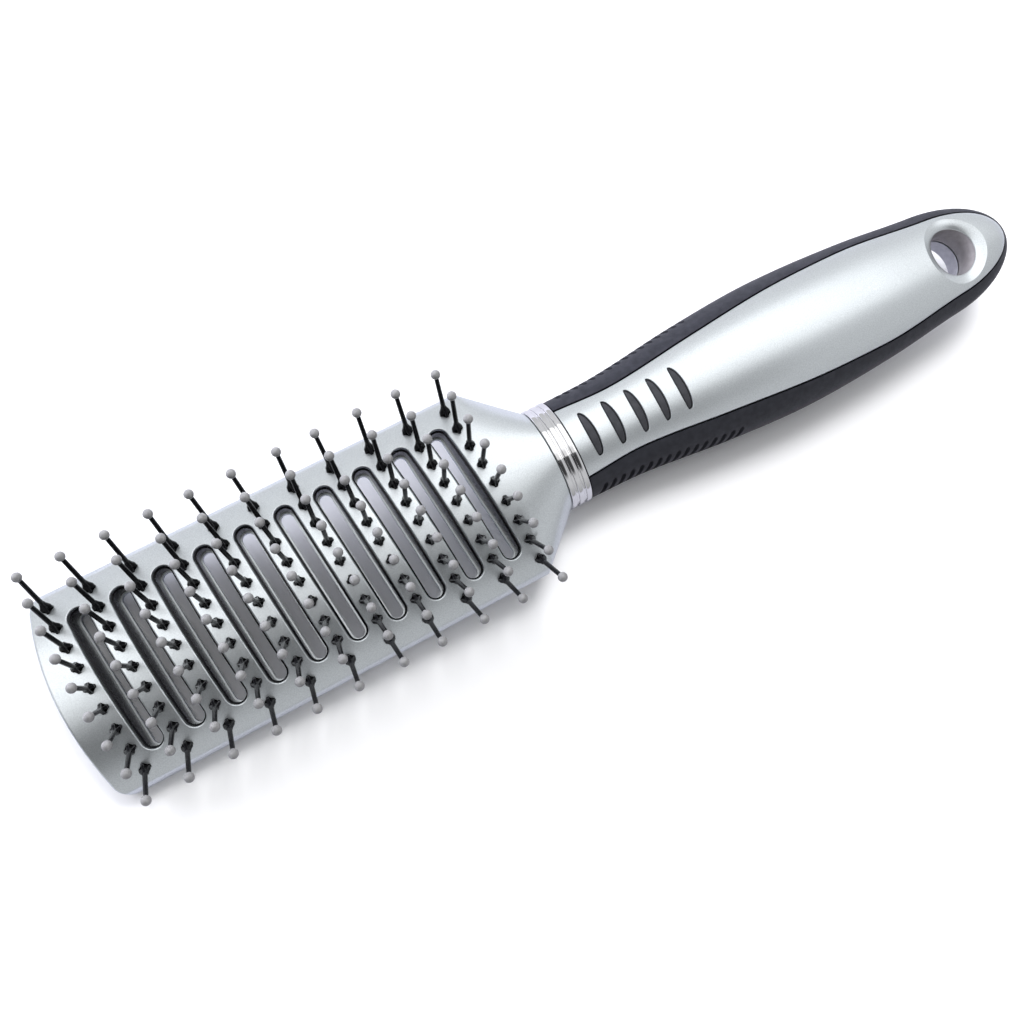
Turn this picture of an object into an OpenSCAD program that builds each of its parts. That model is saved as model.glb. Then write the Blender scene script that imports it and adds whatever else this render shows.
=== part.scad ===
// Vent brush that lies on its back, with its pins up and its handle towards +X.
// Lengths are millimetres. The origin is below the middle of the whole brush, on the table.
// The head is drawn level in its own frame, whose origin is the middle of the neck joint,
// and then pitched nose down about that joint. The handle is drawn level as it lies.

/* [Head] */
// Length of the head from the neck joint to its far end
head_l = 116.4; // [110:1:125]
// Width of the head across its side walls
head_w = 44.6; // [42:0.5:50]
// Height of the crown above the middle of the neck
crown_h = 9.5; // [8:0.1:11]
// Depth of the head from its crown to its flat back
head_d = 11.1; // [10.8:0.1:13]
// Radius of the crown across the head
crown_r = 43; // [40:1:60]
// Radius of the far end of the head in plan
end_r = 118; // [90:1:160]
// Radius of the edge between the crown and the side walls
edge_r = 2.4; // [1.6:0.1:3]
// Wall thickness of both shells of the head
shell_t = 1.6; // [1.2:0.1:2]
// Height of the joint between the two shells above the middle of the neck
part_h = 2.2; // [1.5:0.1:3]
// Length of the shoulder that narrows to the neck
shoulder_l = 11.6; // [9:0.5:13]
// How far the head is pitched nose down, in degrees
head_pitch = 4; // [2:0.5:5]

/* [Pins] */
// Number of rows of pins
rows = 11; // [7:1:11]
// Distance between rows
row_pitch = 9; // [8.6:0.1:9.4]
// Distance of the middle row from the neck joint
mid_row = 64.4; // [63:0.2:66]
// Number of pins in a row
row_pins = 9; // [5:2:9]
// Distance between the pins of a row, across the head
pin_pitch = 4.65; // [4.2:0.05:4.8]
// How much further each pin fans out than the one before it, in degrees
pin_fan = 7; // [5:0.5:8]
// Slant of the rows and vents, in degrees
row_slant = 5.1; // [0:0.1:7]
// Height of the middle of a ball tip above the crown
pin_h = 12.5; // [8:0.5:16]
// Diameter of a pin at its root
pin_root_d = 1.3; // [1:0.05:1.5]
// Diameter of a pin at its tip
pin_tip_d = 1.0; // [0.7:0.05:1.2]
// Reach of the gusset fins from the middle of a pin
fin_reach = 1.25; // [1:0.05:1.3]
// Thickness of a gusset fin
fin_t = 0.5; // [0.3:0.05:0.7]
// Height of the gusset fins above the crown
fin_h = 3.4; // [2:0.1:5]
// Height up to which the gusset fins keep their full reach
fin_foot = 0.9; // [0.3:0.1:1.2]
// Diameter of a ball tip
ball_d = 2.05; // [1.8:0.05:2.8]
// Diameter of the hole that a pin stands in
pin_hole_d = 2.7; // [2.65:0.05:3]
// Thickness of the strip that carries a row of pins
strip_t = 1.4; // [1:0.1:1.8]
// Width of the strip that carries a row of pins
strip_w = 3; // [2.8:0.1:3.2]

/* [Vents] */
// Width of a vent in the front shell
vent_w = 4.3; // [3.8:0.1:4.6]
// Distance between the round ends of a vent
vent_run = 28.2; // [20:0.5:30]
// Width of the clear way through the back shell
vent_clear = 2.8; // [2.2:0.1:3.2]
// Width inside the collar that lines a vent
collar_in = 3.5; // [3.3:0.1:3.7]
// Wall thickness of the collar
collar_t = 0.8; // [0.6:0.05:0.9]
// Thickness of the plate that joins the collars
liner_t = 1.2; // [0.8:0.1:1.6]

/* [Neck] */
// Width of the neck
neck_w = 23.8; // [22:0.2:25]
// Height of the neck
neck_h = 18.2; // [17:0.2:18.6]
// Width of the chromed ring along the brush
ring_w = 5.4; // [4:0.1:7]
// How far the ring stands out past the neck
ring_proud = 0.3; // [0.1:0.1:0.5]
// Wall thickness of the ring at the neck
ring_t = 3.4; // [3.3:0.1:4]
// Depth of the two grooves round the ring
ring_groove = 0.4; // [0.2:0.1:0.5]
// Length of the spigot inside the head
spigot_l = 9; // [6:0.5:10]

/* [Handle] */
// Length of the handle from the neck joint
handle_l = 125.2; // [115:1:135]
// Widest part of the handle
belly_w = 32.2; // [30:0.2:34]
// Thickness of the handle at its widest part
belly_h = 22.8; // [21:0.2:24]
// Width of the handle where its rounded end begins
tail_w = 26.2; // [25:0.2:28]
// Thickness of the handle where its rounded end begins
tail_h = 17.2; // [16.6:0.2:19]
// Rise of the middle of the handle at its end
tail_rise = 4.2; // [2:0.2:5]
// Length of the rounded end of the handle
tail_l = 21.2; // [20:0.5:24]
// Thickness of the two hard plates
plate_t = 1.6; // [1.4:0.1:2]
// Distance of the plates' round tip from the end of the handle
plate_margin = 2.6; // [2:0.1:3.2]
// Width of the plates at the neck
plate_neck_w = 15.4; // [14:0.2:17]
// Width of the plates at the belly
plate_belly_w = 24.4; // [22:0.2:25]
// Width of the plates where the rounded end begins
plate_tail_w = 20.4; // [19.6:0.2:21]
// Thickness of the soft layer at the sides of the handle
grip_t = 3; // [2:0.1:4]
// Thickness of the soft layer below the plates
pad_t = 1.2; // [0.8:0.1:1.6]

/* [Hanging hole] */
// Distance of the hole from the end of the handle
hole_x = 19.6; // [18.2:0.2:21.2]
// Diameter of the hole
hole_d = 11.5; // [10:0.1:12]
// Wall thickness of the tubes round the hole
hole_wall = 1.4; // [1:0.1:1.6]
// Depth of the funnel at each mouth of the hole
funnel_d = 2; // [1.6:0.1:2.4]

/* [Grip details] */
// Number of lens shaped pads that show through the front plate
lenses = 5; // [3:1:5]
// Distance of the first lens from the neck joint
lens_start = 3.9; // [3.6:0.1:5]
// Distance between lenses
lens_pitch = 5.6; // [5:0.1:6]
// Length of a lens across the handle
lens_l = 10.4; // [8:0.2:11]
// Width of a lens
lens_w = 2.1; // [1.6:0.1:2.4]
// How deep the pads lie below the surface of the plate
lens_sink = 0.25; // [0.1:0.05:0.4]
// Number of side notches on each side of the grip
notches = 16; // [10:1:18]
// Distance of the first notch from the neck joint
notch_start = 2.6; // [2.4:0.1:8]
// Distance between notches
notch_pitch = 2.3; // [1.8:0.1:2.6]
// Width of a notch
notch_w = 0.8; // [0.5:0.1:1]
// Depth of a notch
notch_d = 0.9; // [0.3:0.1:1.2]
// Height of a notch
notch_h = 6; // [4:0.5:8]
// How far the middle of a notch lies above the widest line of the grip
notch_lift = 1.2; // [0:0.1:2]
// Slant of a notch from upright, in degrees
notch_slant = 25; // [10:1:35]

/* [Fits] */
// Gap between fixed pieces that lie on each other
seat_gap = 0.1; // [0.05:0.01:0.15]
// Gap round a piece that stands in a hole or a socket
socket_gap = 0.15; // [0.1:0.01:0.2]

/* [Hidden] */
$fn = 48;
ROW_NODES = 11;
// Where the neck joint lies in the frame of the whole brush
back_h = crown_h - head_d;
// The last sections of the handle stop this far before its end
end_cut = 0.12;
neck_x = (head_l * cos(head_pitch) + crown_h * sin(head_pitch) - handle_l + end_cut) / 2;
neck_z = head_l * sin(head_pitch) - back_h * cos(head_pitch);
axis_h = crown_h - crown_r;
head_x0 = -head_l;
shoulder_x = -ring_w - shoulder_l;
collar_out = collar_in + 2 * collar_t;
strip_top_r = crown_r - shell_t - seat_gap;
strip_low_r = strip_top_r - strip_t;
liner_top_r = strip_low_r - seat_gap;
liner_low_r = liner_top_r - liner_t;
floor_h = back_h + shell_t;
far = 400;
eps = 0.01;
spigot_w = neck_w - 2 * ring_t;
spigot_h = neck_h - 2 * ring_t;
tongue_side = 1;
tongue_lift = 0.4;
tongue_drop = 1.4;
tongue_w = spigot_w - 2 * tongue_side;
tongue_low = back_h + shell_t + tongue_lift;
tongue_h = head_d - 2 * shell_t - tongue_lift - tongue_drop;
hole_r = hole_d / 2;
hole_mid = handle_l - hole_x;
hole_tube_r = hole_r + hole_wall;
corner_extra = 1;
corner_r = edge_r + corner_extra;
head_points = 48;
// How far the shells' room runs past the start of the shoulder, a strip past its outermost
// pins, and how far the liner stays inside the side walls
room_past = 0.95;
strip_past = 0.9;
liner_inset = 2.4;
// Each row's own lean along the brush, in degrees, towards the handle
row_lean = [1.5, 0, 0, 0, -2, -2, 1.5, -1, 1, 0, 1];
// Where the vents lie: one between each two rows
function row_x(i) = -mid_row + (i - (rows - 1) / 2) * row_pitch;
function vent_x(i) = row_x(i) + row_pitch / 2;
function pin_y(j) = (j - (row_pins - 1) / 2) * pin_pitch;
function pin_angle(j) = (j - (row_pins - 1) / 2) * pin_fan;
function crown_z(y) = axis_h + sqrt(crown_r * crown_r - y * y);

// Smooth curve through stations [position, value]
function seg(t, x, i = 0) = (i >= len(t) - 2 || x < t[i + 1][0]) ? i : seg(t, x, i + 1);
function rise(t, i) =
    let (a = max(i - 1, 0), b = min(i + 1, len(t) - 1))
    (t[b][1] - t[a][1]) / (t[b][0] - t[a][0]);
function curve(t, x) =
    let (
        i = seg(t, x),
        h = t[i + 1][0] - t[i][0],
        u = (x - t[i][0]) / h,
        a = t[i][1],
        b = t[i + 1][1]
    )
    a * (1 + 2 * u) * (1 - u) * (1 - u) + b * u * u * (3 - 2 * u)
    + rise(t, i) * h * u * (1 - u) * (1 - u) + rise(t, i + 1) * h * u * u * (u - 1);
function mix(a, b, u) = a + (b - a) * u;

// The handle's stations along its length: neck, waist, swell, belly, taper and tail
tail_x = handle_l - tail_l;
waist_x = 0.13 * tail_x;
swell_x = 0.34 * tail_x;
belly_x = 0.55 * tail_x;
taper_x = 0.79 * tail_x;
half_w_line = [
    [0, neck_w / 2],
    [waist_x, mix(neck_w, belly_w, 0.1) / 2],
    [swell_x, mix(neck_w, belly_w, 0.67) / 2],
    [belly_x, belly_w / 2],
    [taper_x, mix(belly_w, tail_w, 0.3) / 2],
    [tail_x, tail_w / 2],
    [handle_l, mix(belly_w, tail_w, 1.3) / 2]
];
half_h_line = [
    [0, neck_h / 2],
    [waist_x, mix(neck_h, belly_h, 0.12) / 2],
    [swell_x, mix(neck_h, belly_h, 0.6) / 2],
    [belly_x, belly_h / 2],
    [taper_x, mix(belly_h, tail_h, 0.4) / 2],
    [tail_x, tail_h / 2],
    [handle_l, mix(belly_h, tail_h, 1.2) / 2]
];
mid_line = [
    [0, 0],
    [waist_x, 0.12 * tail_rise],
    [swell_x, 0.27 * tail_rise],
    [belly_x, 0.42 * tail_rise],
    [taper_x, 0.68 * tail_rise],
    [tail_x, 0.88 * tail_rise],
    [handle_l, tail_rise]
];
plate_line = [
    [0, plate_neck_w / 2 + 0.3],
    [waist_x, plate_neck_w / 2 - 0.3],
    [swell_x, mix(plate_neck_w, plate_belly_w, 0.42) / 2],
    [belly_x, mix(plate_neck_w, plate_belly_w, 0.88) / 2],
    [0.72 * tail_x, plate_belly_w / 2],
    [taper_x + 2, plate_belly_w / 2 - 0.1],
    [tail_x, plate_tail_w / 2],
    [handle_l, plate_tail_w / 2 - 1]
];
plate_end = handle_l - plate_margin;
function round_end(x, end, power) =
    x <= tail_x ? 1 : pow(max(1 - pow((x - tail_x) / (end - tail_x), power), 0), 0.5);
function half_w(x) = curve(half_w_line, x) * round_end(x, handle_l, 2);
function half_h(x) = curve(half_h_line, x) * round_end(x, handle_l, 3);
function mid_z(x) = curve(mid_line, x);
function plate_half(x) = curve(plate_line, x) * round_end(x, plate_end, 2);
// The handle's first sections lean to meet the pitched head square
function section_lean(x) = -tan(head_pitch) * max(0, 1 - x / waist_x);

// A point of the handle's surface sunk by a depth, at a distance y from the middle,
// on the front (side 1) or the back (side -1)
function skin_at(x, y, depth, side, lead = 0) =
    let (u = y / (half_w(x) - depth))
    let (z = side * (half_h(x) - depth) * sqrt(max(1 - u * u, 0)))
    [x - (x == 0 ? lead : 0) + section_lean(x) * (mid_z(x) + z), y, mid_z(x) + z];

// Sections are close together in the rounded end and wider apart before it
function stations(end, n_body, n_tail) = concat(
    [for (i = [0:n_body - 1]) tail_x * i / n_body],
    [for (i = [0:n_tail]) tail_x + (end - tail_x) * sin(90 * i / n_tail)]
);

// Joins rings of points into one closed solid. Each end is closed by strips between point k
// and its partner across the ring; a folded ring is a band whose second half runs back.
module loft(rings, folded = 0) {
    n = len(rings[0]);
    m = len(rings);
    sides = [
        for (i = [0:m - 2], j = [0:n - 1])
            let (a = i * n + j, b = i * n + (j + 1) % n)
            each [[a, b, a + n], [b, b + n, a + n]]
    ];
    strips = [
        for (k = [0:n / 2 - 1 - folded])
            let (p = (n - folded - k) % n, q = n - folded - k - 1)
            each concat(k + 1 == q ? [] : [[k, k + 1, q]], k == p ? [] : [[k, q, p]])
    ];
    first = [for (t = strips) [t[2], t[1], t[0]]];
    last = [for (t = strips) [for (v = t) (m - 1) * n + v]];
    polyhedron(points = [for (r = rings) each r], faces = concat(sides, first, last));
}

// The whole handle's body, sunk all round by a depth, and cut short by it at the end.
// A body that is cut away leads out past the neck joint.
module handle_body(side_depth, depth, end, points, lead = 0) {
    loft([
        for (x = stations(end, 11, 6))
            let (s = min(x, end - end_cut))
            [
                for (k = [0:points - 1])
                    let (a = -360 * k / points)
                    let (z = (half_h(s) - depth * half_h(s) / (tail_h / 2)) * sin(a))
                    [
                        s - (s == 0 ? lead : 0) + section_lean(s) * (mid_z(s) + z),
                        (half_w(s) - side_depth * half_w(s) / (tail_w / 2)) * cos(a),
                        mid_z(s) + z
                    ]
            ]
    ]);
}

// A band of the handle's skin, between two depths, as wide as a plate plus a gap
module plate_band(side, outer, inner, gap, lead = 0) {
    n = 8;
    loft([
        for (x = stations(plate_end + gap, 11, 6))
            let (
                s = min(x, plate_end + gap - end_cut),
                y1 = side * (plate_half(min(s, plate_end - end_cut)) + gap)
            )
            concat(
                [for (k = [0:n]) skin_at(s, y1 * (2 * k / n - 1), outer, side, lead)],
                [for (k = [n:-1:0]) skin_at(s, y1 * (2 * k / n - 1), inner, side, lead)]
            )
    ], 1);
}

// Puts head pieces in place: pitched nose down about the neck joint
module seat_head() {
    translate([neck_x, 0, neck_z]) rotate([0, -head_pitch, 0]) children();
}

// Puts handle pieces in place
module seat_handle() {
    translate([neck_x, 0, neck_z]) children();
}

module ellipse_2d(w, h) {
    polygon([for (a = [0:7.5:359]) [w / 2 * cos(a), h / 2 * sin(a)]]);
}

// Height of the head's section at a distance y from the middle, drawn inward by an inset
function top_z(y, inset) =
    let (
        r = edge_r - inset / 2,
        edge_y = head_w / 2 - inset - r,
        dome_r = crown_r - inset,
        edge_z = axis_h + sqrt(pow(dome_r - r, 2) - edge_y * edge_y)
    )
    y < edge_y * dome_r / (dome_r - r)
        ? axis_h + sqrt(dome_r * dome_r - y * y)
        : edge_z + sqrt(max(r * r - pow(y - edge_y, 2), 0));
function base_z(y, inset) =
    let (r = edge_r - inset / 2, edge_y = head_w / 2 - inset - r)
    back_h + inset + (y < edge_y ? 0 : r - sqrt(max(r * r - pow(y - edge_y, 2), 0)));
function head_point(a, inset) =
    let (y = (head_w / 2 - inset) * cos(a), d = min(abs(y), head_w / 2 - inset), side = sin(a))
    [y, abs(side) < eps ? (top_z(d, inset) + base_z(d, inset)) / 2 : side > 0 ? top_z(d, inset) : base_z(d, inset)];

// Where the far end lies at a distance y from the middle: a shallow arc with rounded corners
function far_x(y, inset) =
    let (
        d = min(abs(y), head_w / 2 - inset),
        corner = head_w / 2 - inset - corner_r,
        arc_x = end_r - inset - sqrt(pow(end_r - inset, 2) - pow(min(d, corner), 2))
    )
    head_x0 + inset + arc_x + (d > corner ? corner_r - sqrt(max(corner_r * corner_r - pow(d - corner, 2), 0)) : 0);
function ring_angles() = [for (k = [0:head_points - 1]) -360 * k / head_points];
function head_ring(inset, x_end) = [for (a = ring_angles()) let (p = head_point(a, inset)) [x_end, p[0], p[1]]];
function far_ring(inset) =
    [for (a = ring_angles()) let (p = head_point(a, inset)) [far_x(p[0], inset), p[0], p[1]]];

// Head from its far end to the neck, with a shoulder that narrows to the neck's oval
module head_solid() {
    section = head_ring(0, shoulder_x);
    neck = [for (a = ring_angles()) [-ring_w, neck_w / 2 * cos(a), neck_h / 2 * sin(a)]];
    loft(concat(
        [far_ring(0), section],
        [for (u = [0.25, 0.5, 0.75, 1]) [for (k = [0:head_points - 1]) mix(section[k], neck[k], u)]]
    ));
}

// Room inside both shells, which runs on just past the start of the shoulder
module head_room() {
    loft([far_ring(shell_t), head_ring(shell_t, shoulder_x + room_past)]);
}

// Upright slot with round ends, along a slanted row
module vent_prism(width, low, high) {
    translate([0, 0, low]) rotate([0, 0, row_slant]) {
        for (s = [-1, 1])
            translate([0, s * vent_run / 2, 0]) cylinder(d = width, h = high - low);
        translate([-width / 2, -vent_run / 2, 0]) cube([width, vent_run, high - low]);
    }
}

// Places what stands on the crown at pin j of row i, along that pin
module at_pin(i, j) {
    translate([row_x(i) - tan(row_slant) * pin_y(j), pin_y(j), crown_z(pin_y(j))])
        rotate([-pin_angle(j), 0, 0]) rotate([0, row_lean[i], 0]) children();
}

// Plug that fills the ring, and the tongue that stands in the head's shoulder
module spigot(gap) {
    translate([-ring_w - gap, 0, 0]) rotate([90, 0, 90])
        linear_extrude(ring_w + gap + ring_t / 2) ellipse_2d(spigot_w + 2 * gap, spigot_h + 2 * gap);
    translate([-ring_w - spigot_l - gap, -tongue_w / 2 - gap, tongue_low - gap])
        cube([spigot_l + gap, tongue_w + 2 * gap, tongue_h + 2 * gap]);
}

module head_front() {
    color("silver") seat_head() difference() {
        intersection() {
            head_solid();
            translate([-far / 2, -far / 2, part_h]) cube([far, far, far]);
        }
        head_room();
        spigot(socket_gap);
        for (i = [0:rows - 2]) translate([vent_x(i), 0, 0]) vent_prism(vent_w, -far / 2, far / 2);
        for (i = [0:rows - 1], j = [0:row_pins - 1])
            at_pin(i, j) translate([0, 0, -2 * shell_t]) cylinder(d = pin_hole_d, h = 4 * shell_t, $fn = 24);
    }
}

module head_back() {
    color("silver") seat_head() difference() {
        intersection() {
            head_solid();
            translate([-far / 2, -far / 2, part_h - seat_gap - far]) cube([far, far, far]);
        }
        head_room();
        spigot(socket_gap);
        for (i = [0:rows - 2]) translate([vent_x(i), 0, 0]) vent_prism(vent_clear, -far / 2, far / 2);
    }
}

// Layer that follows the crown between two radii
module crown_layer(low_r, top_r, x0, x1, half) {
    translate([x0, 0, axis_h]) rotate([90, 0, 90]) intersection() {
        difference() {
            cylinder(r = top_r, h = x1 - x0, $fn = 200);
            translate([0, 0, -1]) cylinder(r = low_r, h = x1 - x0 + 2, $fn = 200);
        }
        translate([-half, 0, -1]) cube([2 * half, top_r + 1, x1 - x0 + 2]);
    }
}

module vent_liner() {
    half = head_w / 2 - shell_t - liner_inset;
    x0 = row_x(0) - strip_w;
    x1 = row_x(rows - 1) + strip_w;
    color("#202225") seat_head() difference() {
        union() {
            crown_layer(liner_low_r, liner_top_r, x0, x1, half);
            intersection() {
                for (i = [0:rows - 2])
                    translate([vent_x(i), 0, 0]) vent_prism(collar_out, floor_h + seat_gap, crown_h);
                translate([x0, 0, axis_h]) rotate([0, 90, 0])
                    cylinder(r = strip_top_r, h = x1 - x0, $fn = 200);
            }
        }
        for (i = [0:rows - 2]) translate([vent_x(i), 0, 0]) vent_prism(collar_in, -far / 2, far / 2);
    }
}

// Rod of a pin from its strip to the middle of its ball
module pin_rod() {
    low = -shell_t - strip_t / 2;
    translate([0, 0, low]) cylinder(d1 = pin_root_d, d2 = pin_tip_d, h = pin_h + ball_d / 6 - low, $fn = 16);
}

// Gusset fins crossed through the root of a pin
module pin_fins() {
    low = -shell_t - strip_t / 2;
    for (turn = [0, 90])
        rotate([90, 0, turn]) linear_extrude(fin_t, center = true)
            polygon([
                [-fin_reach, low], [fin_reach, low], [fin_reach, fin_foot],
                [pin_tip_d / 3, fin_h], [-pin_tip_d / 3, fin_h], [-fin_reach, fin_foot]
            ]);
}

// One row: a curved strip under the front shell and the pins that stand on it
module pin_row(i) {
    half = pin_y(row_pins - 1) + strip_past;
    if (i < rows) color("#17181a") seat_head() union() {
        intersection() {
            crown_layer(strip_low_r, strip_top_r, row_x(i) - far / 8, row_x(i) + far / 8, half);
            translate([row_x(i), 0, 0]) rotate([0, 0, row_slant])
                translate([-strip_w / 2, -far / 2, -far / 2]) cube([strip_w, far, far]);
        }
        for (j = [0:row_pins - 1]) at_pin(i, j) {
            pin_rod();
            pin_fins();
        }
    }
}

// The ball tips of one row, each bonded round the end of its rod
module pin_tips(i) {
    if (i < rows) color("#9a9a9c") seat_head() for (j = [0:row_pins - 1]) at_pin(i, j) difference() {
        translate([0, 0, pin_h]) sphere(d = ball_d, $fn = 24);
        pin_rod();
    }
}

module neck_ring() {
    color("gainsboro") seat_head() translate([-ring_w, 0, 0]) rotate([90, 0, 90]) difference() {
        union() {
            linear_extrude(ring_w - seat_gap)
                ellipse_2d(neck_w + 2 * (ring_proud - ring_groove), neck_h + 2 * (ring_proud - ring_groove));
            for (k = [0:2]) translate([0, 0, ring_w * (0.03 + 0.36 * k)])
                linear_extrude(ring_w * 0.22) ellipse_2d(neck_w + 2 * ring_proud, neck_h + 2 * ring_proud);
        }
        translate([0, 0, -1]) linear_extrude(ring_w + 2)
            ellipse_2d(spigot_w + 2 * socket_gap, spigot_h + 2 * socket_gap);
    }
}

// Room in the handle's inner pieces for the tubes round the hanging hole
module hole_room() {
    translate([hole_mid, 0, -far / 2]) cylinder(r = hole_tube_r + socket_gap, h = far);
}

module handle_core() {
    color("#33353a") {
        seat_head() spigot(0);
        seat_handle() difference() {
            handle_body(grip_t + seat_gap, plate_t + pad_t + seat_gap, handle_l - grip_t - seat_gap, 16);
            hole_room();
        }
    }
}

// Half-moon outline of a lens pad, straighter towards the neck
module lens_2d(grow) {
    n = 10;
    polygon(concat(
        [for (k = [0:n]) [
            lens_w * 0.72 * sin(180 * k / n) + (k == 0 || k == n ? 0 : grow),
            (lens_l / 2 + grow) * cos(180 * k / n)]],
        [for (k = [n - 1:-1:1]) [
            -lens_w * 0.28 * sin(180 * k / n) - grow,
            (lens_l / 2 + grow) * cos(180 * k / n)]]
    ));
}

module lens_prisms(grow) {
    for (k = [0:lenses - 1])
        translate([lens_start + k * lens_pitch, 0, 0]) linear_extrude(far) lens_2d(grow);
}

module side_notches() {
    for (k = [0:notches - 1], s = [-1, 1])
        let (x = notch_start + k * notch_pitch)
        translate([x, s * half_w(x), mid_z(x) + notch_lift]) rotate([0, notch_slant, 0])
            cube([notch_w, 2 * notch_d, notch_h], center = true);
}

module grip() {
    color("#26272b") seat_handle() difference() {
        handle_body(0, 0, handle_l, 24);
        handle_body(grip_t, plate_t + pad_t, handle_l - grip_t, 16, 1);
        difference() {
            plate_band(1, -1, plate_t + seat_gap, seat_gap, 1);
            intersection() {
                lens_prisms(-seat_gap);
                handle_body(lens_sink, lens_sink, handle_l, 24);
            }
        }
        plate_band(-1, -1, plate_t + seat_gap, seat_gap, 1);
        hole_room();
        side_notches();
    }
}

// Height of the handle's surface above its middle line, at the edge of the hole's tube
hole_rim_h = half_h(hole_mid) * sqrt(1 - pow(hole_tube_r / half_w(hole_mid), 2));

// Tube round one mouth of the hanging hole, from the middle of the handle to its plate
module hole_tube(side) {
    split = side < 0 ? seat_gap : 0;
    translate([hole_mid, 0, mid_z(hole_mid)]) mirror([0, 0, side < 0 ? 1 : 0]) translate([0, 0, split])
        cylinder(r = hole_tube_r, h = hole_rim_h - plate_t / 4 - split);
}

module hole_cut(side) {
    mouth = mid_z(hole_mid) + side * half_h(hole_mid);
    translate([hole_mid, 0, -far / 2]) cylinder(r = hole_r, h = far);
    translate([hole_mid, 0, mouth - side * funnel_d]) mirror([0, 0, side < 0 ? 1 : 0])
        cylinder(r1 = hole_r, r2 = hole_r + 2 * funnel_d, h = 2 * funnel_d);
}

module top_plate() {
    color("silver") seat_handle() difference() {
        union() {
            plate_band(1, 0, plate_t, 0);
            hole_tube(1);
        }
        lens_prisms(0);
        hole_cut(1);
    }
}

module back_plate() {
    color("silver") seat_handle() difference() {
        union() {
            plate_band(-1, 0, plate_t, 0);
            hole_tube(-1);
        }
        hole_cut(-1);
    }
}

function two_digits(i) = str(i < 9 ? "0" : "", i + 1);

head_front();
head_back();
vent_liner();
for (i = [0:ROW_NODES - 1])
    pin_row(i);
for (i = [0:ROW_NODES - 1])
    pin_tips(i);
neck_ring();
handle_core();
grip();
top_plate();
back_plate();
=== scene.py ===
# %% [markdown]
# # A vent brush, dressed in Blender
#
# The brush lies on its back with its pins up. A CAD model already fixes every size, and this
# lesson gives it the finer edges, fillets and finishes that the real one shows. The CAD frame
# is loaded first, because every new piece is placed in it. Lengths below are millimetres, and
# they turn into metres only where a mesh is made.

# %% Load the frame
import math

import bmesh
import bpy
import numpy as np
from mathutils import Matrix, Vector


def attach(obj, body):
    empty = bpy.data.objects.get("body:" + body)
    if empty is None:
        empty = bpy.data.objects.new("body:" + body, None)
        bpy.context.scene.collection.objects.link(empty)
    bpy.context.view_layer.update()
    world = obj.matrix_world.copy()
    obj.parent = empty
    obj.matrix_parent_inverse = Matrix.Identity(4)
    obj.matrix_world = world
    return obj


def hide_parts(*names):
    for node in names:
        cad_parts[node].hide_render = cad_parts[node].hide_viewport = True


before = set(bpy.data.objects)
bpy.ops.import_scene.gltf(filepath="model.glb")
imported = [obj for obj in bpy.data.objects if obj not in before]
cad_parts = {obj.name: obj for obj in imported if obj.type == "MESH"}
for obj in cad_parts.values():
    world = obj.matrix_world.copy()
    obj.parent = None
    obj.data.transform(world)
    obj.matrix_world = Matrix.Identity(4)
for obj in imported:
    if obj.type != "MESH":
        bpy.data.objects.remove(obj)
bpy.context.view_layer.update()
MM = 0.001
print("CAD pieces:", len(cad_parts))

# %% [markdown]
# ## Shared sizes
#
# The head is drawn level and then pitched nose down about the neck joint, while the handle is
# drawn as it lies. These few numbers are the ones that both the CAD and the look must share.

# %% Sizes of the head
HEAD_LONG = 116.4
HEAD_HALF = 22.3
CROWN_UP = 9.5
BACK_UP = -1.6
CROWN_R = 43.0
FAR_R = 118.0
EDGE_R = 2.4
CORNER_R = 3.4
WALL = 1.6
JOINT_UP = 2.2
SHOULDER_X = -17.0
RING_LONG = 5.4
HANDLE_LONG = 125.2
NECK_HALF = 11.9
NECK_UP = 9.1
PITCH = math.radians(4.0)
CROWN_MID = CROWN_UP - CROWN_R
END_LEFT = 0.12
NECK_X = (HEAD_LONG * math.cos(PITCH) + CROWN_UP * math.sin(PITCH) - HANDLE_LONG + END_LEFT) / 2
NECK_Z = HEAD_LONG * math.sin(PITCH) - BACK_UP * math.cos(PITCH)


def from_head(points):
    """Turns points of the level head into the brush's own frame."""
    p = np.asarray(points, float)
    c, s = math.cos(PITCH), math.sin(PITCH)
    return np.stack([NECK_X + p[:, 0] * c - p[:, 2] * s, p[:, 1], NECK_Z + p[:, 0] * s + p[:, 2] * c], 1)


def into_head(points):
    """Turns points of the brush's frame back into the level head."""
    p = np.asarray(points) - np.array([NECK_X, 0, NECK_Z])
    c, s = math.cos(PITCH), math.sin(PITCH)
    return np.stack([p[:, 0] * c + p[:, 2] * s, p[:, 1], -p[:, 0] * s + p[:, 2] * c], 1)


def from_handle(points):
    """Turns points of the handle into the brush's own frame."""
    return np.asarray(points, float) + np.array([NECK_X, 0.0, NECK_Z])


print("neck joint at", round(NECK_X, 3), round(NECK_Z, 3))

# %% [markdown]
# ## A helper that makes a mesh
#
# Every piece starts as a list of points and faces. A loft joins rings of points into a closed
# solid, which suits mouldings whose section changes slowly, such as the head and the handle.

# %% Mesh helpers
def add_object(name, data):
    piece = bpy.data.objects.new(name, data)
    bpy.context.scene.collection.objects.link(piece)
    return piece


def make_mesh(name, points, faces):
    mesh = bpy.data.meshes.new(name)
    mesh.from_pydata([tuple(v) for v in np.asarray(points) * MM], [], faces)
    mesh.validate()
    return add_object(name, mesh)


def ring_faces(base, n, rings):
    """Faces between rings of n points that follow one another from a first point."""
    return [(base + i * n + j, base + i * n + (j + 1) % n, base + (i + 1) * n + (j + 1) % n,
             base + (i + 1) * n + j) for i in range(rings - 1) for j in range(n)]


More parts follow.
